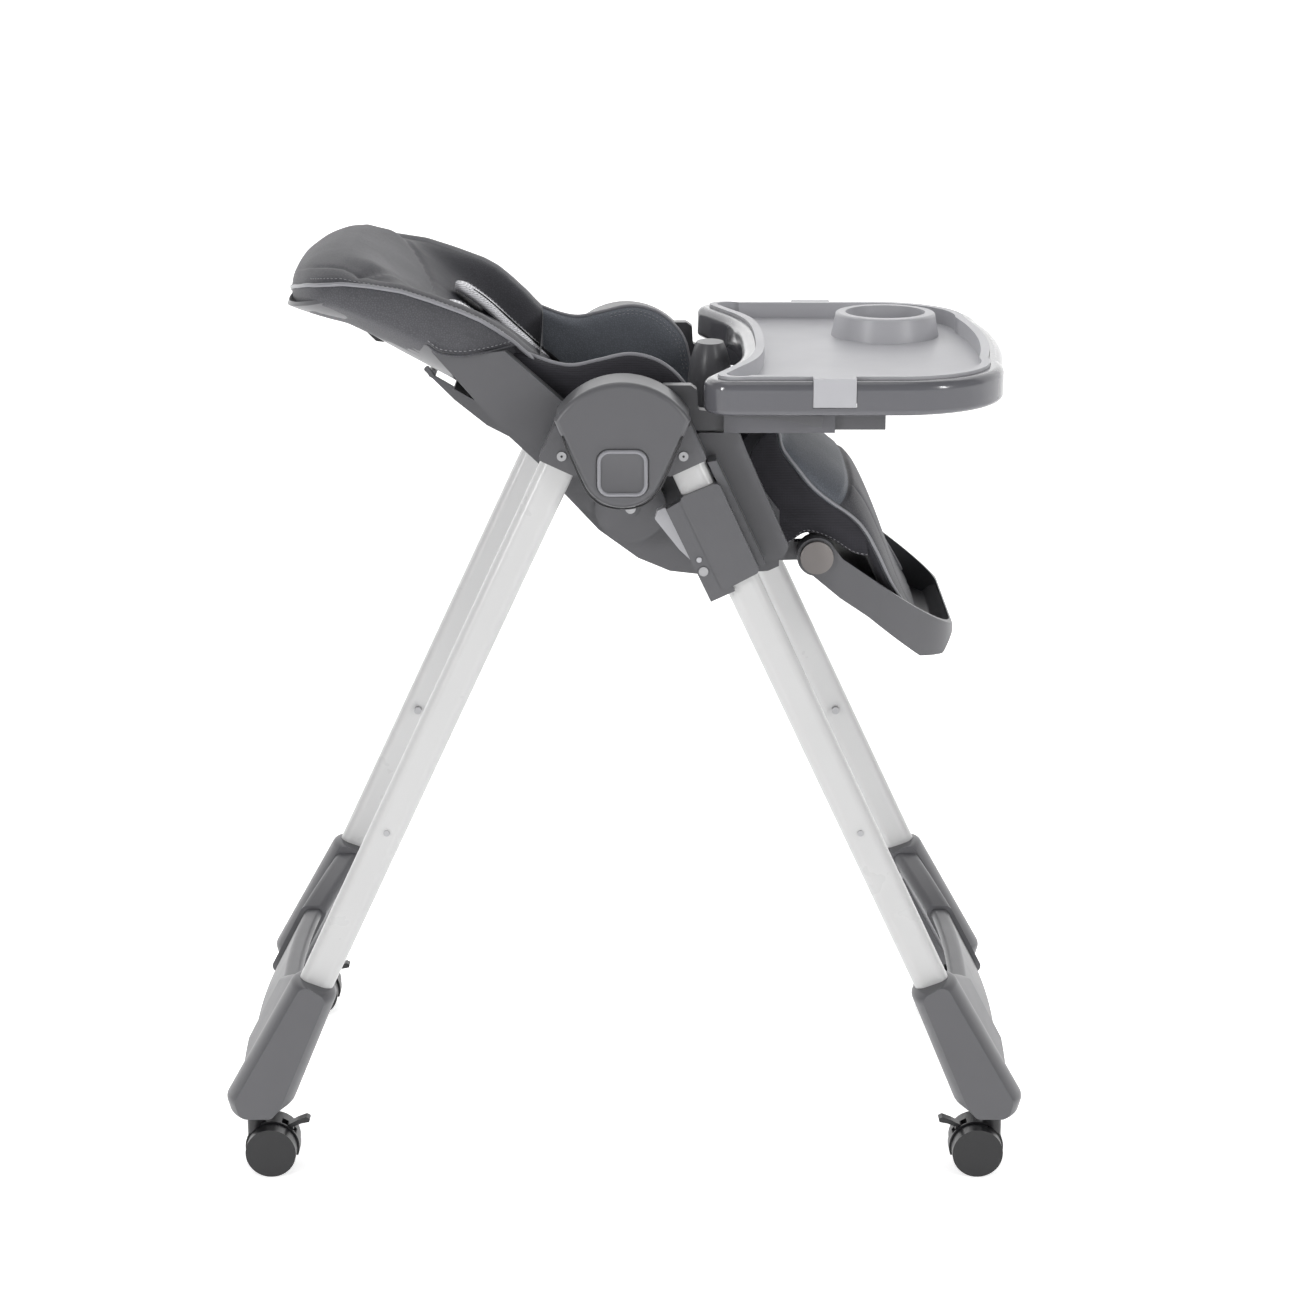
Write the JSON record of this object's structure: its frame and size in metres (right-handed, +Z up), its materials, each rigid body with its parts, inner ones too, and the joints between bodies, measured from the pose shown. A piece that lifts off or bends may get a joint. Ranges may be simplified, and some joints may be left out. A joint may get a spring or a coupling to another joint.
{
  "type": "baby high chair",
  "caption": "Folding high chair on casters with a reclining padded seat, scoop leg rest and a sliding tray with a lift-out insert and cup holder.",
  "frame": {"origin": "on the floor at the centre of the base", "axes": "+X to the tray, +Y to the sitter's left, +Z up"},
  "size_m": [0.79, 0.489, 0.8942],
  "materials": {
    "black_plastic": "satin black",
    "button_taupe": "satin taupe grey",
    "caster_black": "satin black nylon",
    "frame_grey": "satin moulded grey",
    "leg_paint": "satin light grey powder coat",
    "lever_light": "satin light grey",
    "steel": "zinc plated",
    "tray_light": "satin light grey",
    "tray_rim": "gloss grey",
    "upholstery": "dark grey synthetic leather",
    "webbing": "woven webbing",
    "webbing_pad": "light grey padded cover"
  },
  "bodies": {
    "front_frame": {"front_leg_tube_left": "leg_paint", "front_leg_tube_right": "leg_paint", "front_foot_left": "frame_grey", "front_foot_right": "frame_grey", "front_crossbar": "frame_grey", "hub_front_socket_left": "frame_grey", "hub_front_socket_right": "frame_grey", "hub_cover_left": "frame_grey", "hub_cover_right": "frame_grey", "front_frame_pins": "steel"},
    "rear_frame": {"rear_leg_tube_left": "leg_paint", "rear_leg_tube_right": "leg_paint", "rear_foot_left": "frame_grey", "rear_foot_right": "frame_grey", "rear_crossbar": "frame_grey", "hub_rear_socket_left": "frame_grey", "hub_rear_socket_right": "frame_grey", "rear_frame_pins": "steel"},
    "seat": {"seat_shell": "frame_grey", "seat_pad": "upholstery", "seat_wing_left": "upholstery", "seat_wing_right": "upholstery", "armrest_left": "frame_grey", "armrest_right": "frame_grey", "seat_bracket_left": "frame_grey", "seat_bracket_right": "frame_grey", "slider_left": "frame_grey", "slider_right": "frame_grey", "crotch_post": "frame_grey", "harness_straps": "webbing", "harness_buckle": "black_plastic", "seat_screws": "steel"},
    "backrest": {"backrest_shell": "frame_grey", "backrest_pad": "upholstery", "recline_rail": "frame_grey", "shoulder_straps": "webbing_pad"},
    "leg_rest": {"leg_rest_shell": "frame_grey", "leg_rest_pad": "upholstery"},
    "tray": {"tray_base": "tray_rim"},
    "tray_insert": {"tray_insert": "tray_light"},
    "tray_release": {"tray_release": "frame_grey"},
    "recline_handle": {"recline_handle": "black_plastic"},
    "fold_button_left": {"fold_button_left": "frame_grey"},
    "height_lever_left": {"height_lever_left": "lever_light"},
    "leg_rest_button_left": {"leg_rest_button_left": "button_taupe"},
    "fold_button_right": {"fold_button_right": "frame_grey"},
    "height_lever_right": {"height_lever_right": "lever_light"},
    "leg_rest_button_right": {"leg_rest_button_right": "button_taupe"},
    "caster_front_left": {"caster_housing_front_left": "caster_black"},
    "wheels_front_left": {"caster_wheels_front_left": "caster_black"},
    "brake_front_left": {"caster_brake_front_left": "caster_black"},
    "caster_front_right": {"caster_housing_front_right": "caster_black"},
    "wheels_front_right": {"caster_wheels_front_right": "caster_black"},
    "brake_front_right": {"caster_brake_front_right": "caster_black"},
    "caster_rear_left": {"caster_housing_rear_left": "caster_black"},
    "wheels_rear_left": {"caster_wheels_rear_left": "caster_black"},
    "brake_rear_left": {"caster_brake_rear_left": "caster_black"},
    "caster_rear_right": {"caster_housing_rear_right": "caster_black"},
    "wheels_rear_right": {"caster_wheels_rear_right": "caster_black"},
    "brake_rear_right": {"caster_brake_rear_right": "caster_black"}
  },
  "joints": [
    {"name": "fold", "type": "hinge", "parent": "front_frame", "child": "rear_frame", "pos_m": [0, 0, 0.717], "axis": [0, -1, 0], "range_deg": [0, 40]},
    {"name": "seat_height", "type": "slide", "parent": "front_frame", "child": "seat", "axis": [-0.4226, 0, 0.9063], "range_m": [-0.24, 0]},
    {"name": "recline", "type": "hinge", "parent": "seat", "child": "backrest", "pos_m": [0.007, 0, 0.668], "axis": [0, 1, 0], "range_deg": [0, 38]},
    {"name": "leg_rest_tilt", "type": "hinge", "parent": "seat", "child": "leg_rest", "pos_m": [0.187, 0, 0.614], "axis": [0, -1, 0], "range_deg": [-35, 33]},
    {"name": "tray_slide", "type": "slide", "parent": "seat", "child": "tray", "axis": [1, 0, 0], "range_m": [0, 0.09]},
    {"name": "insert_lift", "type": "slide", "parent": "tray", "child": "tray_insert", "axis": [0, 0, 1], "range_m": [0, 0.06]},
    {"name": "tray_release_squeeze", "type": "hinge", "parent": "tray", "child": "tray_release", "pos_m": [0.1, 0, 0.7655], "axis": [0, -1, 0], "range_deg": [0, 2.4], "stiffness_Nm_per_rad": 5, "springref_deg": -2.86},
    {"name": "recline_handle_squeeze", "type": "hinge", "parent": "backrest", "child": "recline_handle", "pos_m": [-0.2585, 0, 0.821], "axis": [0, -1, 0], "range_deg": [0, 8], "stiffness_Nm_per_rad": 2, "springref_deg": -2.86},
    {"name": "fold_button_press_left", "type": "slide", "parent": "front_frame", "child": "fold_button_left", "axis": [0, -1, 0], "range_m": [0, 0.005], "stiffness_N_per_m": 400, "springref_m": -0.004},
    {"name": "height_lever_squeeze_left", "type": "hinge", "parent": "seat", "child": "height_lever_left", "pos_m": [0.07189, 0, 0.62995], "axis": [0, 1, 0], "range_deg": [0, 9], "stiffness_Nm_per_rad": 2, "springref_deg": -4.58},
    {"name": "leg_rest_button_press_left", "type": "slide", "parent": "leg_rest", "child": "leg_rest_button_left", "axis": [0, -1, 0], "range_m": [0, 0.004], "stiffness_N_per_m": 300, "springref_m": -0.003},
    {"name": "fold_button_press_right", "type": "slide", "parent": "front_frame", "child": "fold_button_right", "axis": [0, 1, 0], "range_m": [0, 0.005], "stiffness_N_per_m": 400, "springref_m": -0.004},
    {"name": "height_lever_squeeze_right", "type": "hinge", "parent": "seat", "child": "height_lever_right", "pos_m": [0.07189, 0, 0.62995], "axis": [0, 1, 0], "range_deg": [0, 9], "stiffness_Nm_per_rad": 2, "springref_deg": -4.58},
    {"name": "leg_rest_button_press_right", "type": "slide", "parent": "leg_rest", "child": "leg_rest_button_right", "axis": [0, 1, 0], "range_m": [0, 0.004], "stiffness_N_per_m": 300, "springref_m": -0.003},
    {"name": "caster_swivel_front_left", "type": "hinge", "parent": "front_frame", "child": "caster_front_left", "pos_m": [0.367, 0.21, 0.06], "axis": [0, 0, 1], "continuous": true},
    {"name": "wheel_roll_front_left", "type": "hinge", "parent": "caster_front_left", "child": "wheels_front_left", "pos_m": [0.351, 0.21, 0.025], "axis": [0, 1, 0], "continuous": true},
    {"name": "brake_press_front_left", "type": "hinge", "parent": "caster_front_left", "child": "brake_front_left", "pos_m": [0.334, 0.21, 0.043], "axis": [0, -1, 0], "range_deg": [0, 12]},
    {"name": "caster_swivel_front_right", "type": "hinge", "parent": "front_frame", "child": "caster_front_right", "pos_m": [0.367, -0.21, 0.06], "axis": [0, 0, 1], "continuous": true},
    {"name": "wheel_roll_front_right", "type": "hinge", "parent": "caster_front_right", "child": "wheels_front_right", "pos_m": [0.351, -0.21, 0.025], "axis": [0, 1, 0], "continuous": true},
    {"name": "brake_press_front_right", "type": "hinge", "parent": "caster_front_right", "child": "brake_front_right", "pos_m": [0.334, -0.21, 0.043], "axis": [0, -1, 0], "range_deg": [0, 12]},
    {"name": "caster_swivel_rear_left", "type": "hinge", "parent": "rear_frame", "child": "caster_rear_left", "pos_m": [-0.367, 0.21, 0.06], "axis": [0, 0, 1], "continuous": true},
    {"name": "wheel_roll_rear_left", "type": "hinge", "parent": "caster_rear_left", "child": "wheels_rear_left", "pos_m": [-0.351, 0.21, 0.025], "axis": [0, 1, 0], "continuous": true},
    {"name": "brake_press_rear_left", "type": "hinge", "parent": "caster_rear_left", "child": "brake_rear_left", "pos_m": [-0.334, 0.21, 0.043], "axis": [0, 1, 0], "range_deg": [0, 12]},
    {"name": "caster_swivel_rear_right", "type": "hinge", "parent": "rear_frame", "child": "caster_rear_right", "pos_m": [-0.367, -0.21, 0.06], "axis": [0, 0, 1], "continuous": true},
    {"name": "wheel_roll_rear_right", "type": "hinge", "parent": "caster_rear_right", "child": "wheels_rear_right", "pos_m": [-0.351, -0.21, 0.025], "axis": [0, 1, 0], "continuous": true},
    {"name": "brake_press_rear_right", "type": "hinge", "parent": "caster_rear_right", "child": "brake_rear_right", "pos_m": [-0.334, -0.21, 0.043], "axis": [0, 1, 0], "range_deg": [0, 12]}
  ]
}
